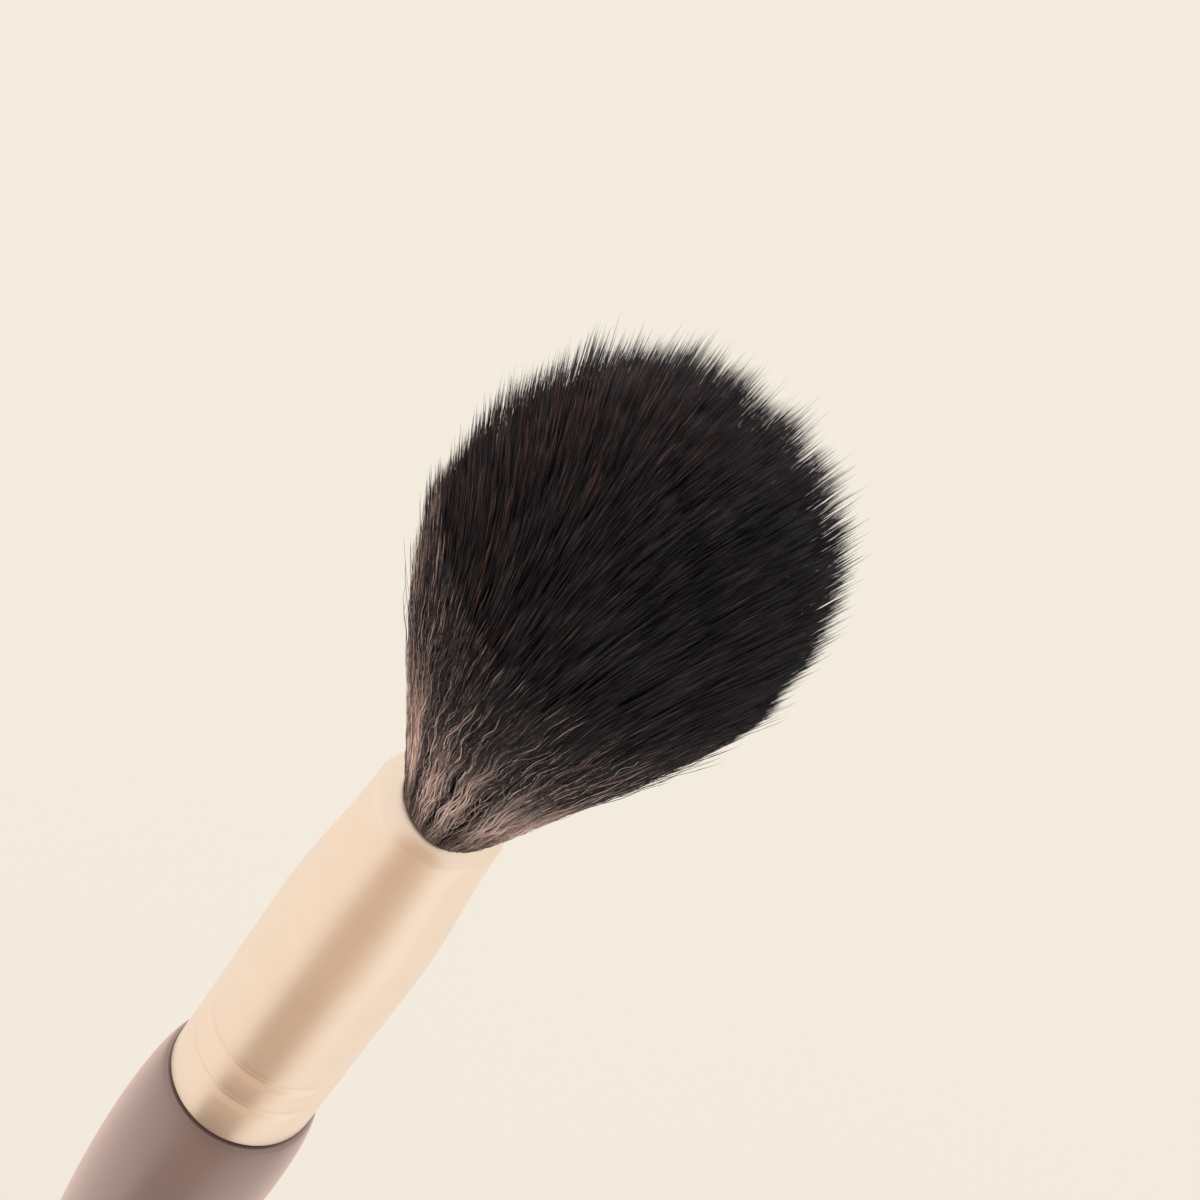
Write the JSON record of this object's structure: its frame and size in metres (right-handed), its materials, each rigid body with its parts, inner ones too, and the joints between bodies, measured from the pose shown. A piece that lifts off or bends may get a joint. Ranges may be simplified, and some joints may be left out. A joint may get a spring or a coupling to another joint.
{
  "type": "finishing brush",
  "caption": "Round cosmetic face-powder brush: a pear-shaped tuft of soft dark hair in a crimped metal ferrule on a slim turned wooden handle.",
  "frame": {"origin": "centre of the small flat on the end of the handle", "axes": "+Z along the brush's axis, from the handle's end to the tip of the hair; X and Y are alike, because the brush is round"},
  "size_m": [0.0272, 0.0274, 0.1779],
  "materials": {
    "lacquered_wood": "satin plum-brown lacquer",
    "wood_glue": "set wood glue",
    "ferrule_metal": "satin rose-gold anodised",
    "epoxy": "set epoxy",
    "thread": "waxed thread",
    "packed_hair": "tightly packed dark hair",
    "hair": "soft black-brown hair"
  },
  "bodies": {
    "root": {"handle": "lacquered_wood", "tenon_glue": "wood_glue", "ferrule": "ferrule_metal", "root_glue_plug": "epoxy", "binding_thread": "thread", "hair_root": "packed_hair", "hair_tuft": "hair"}
  },
  "joints": []
}
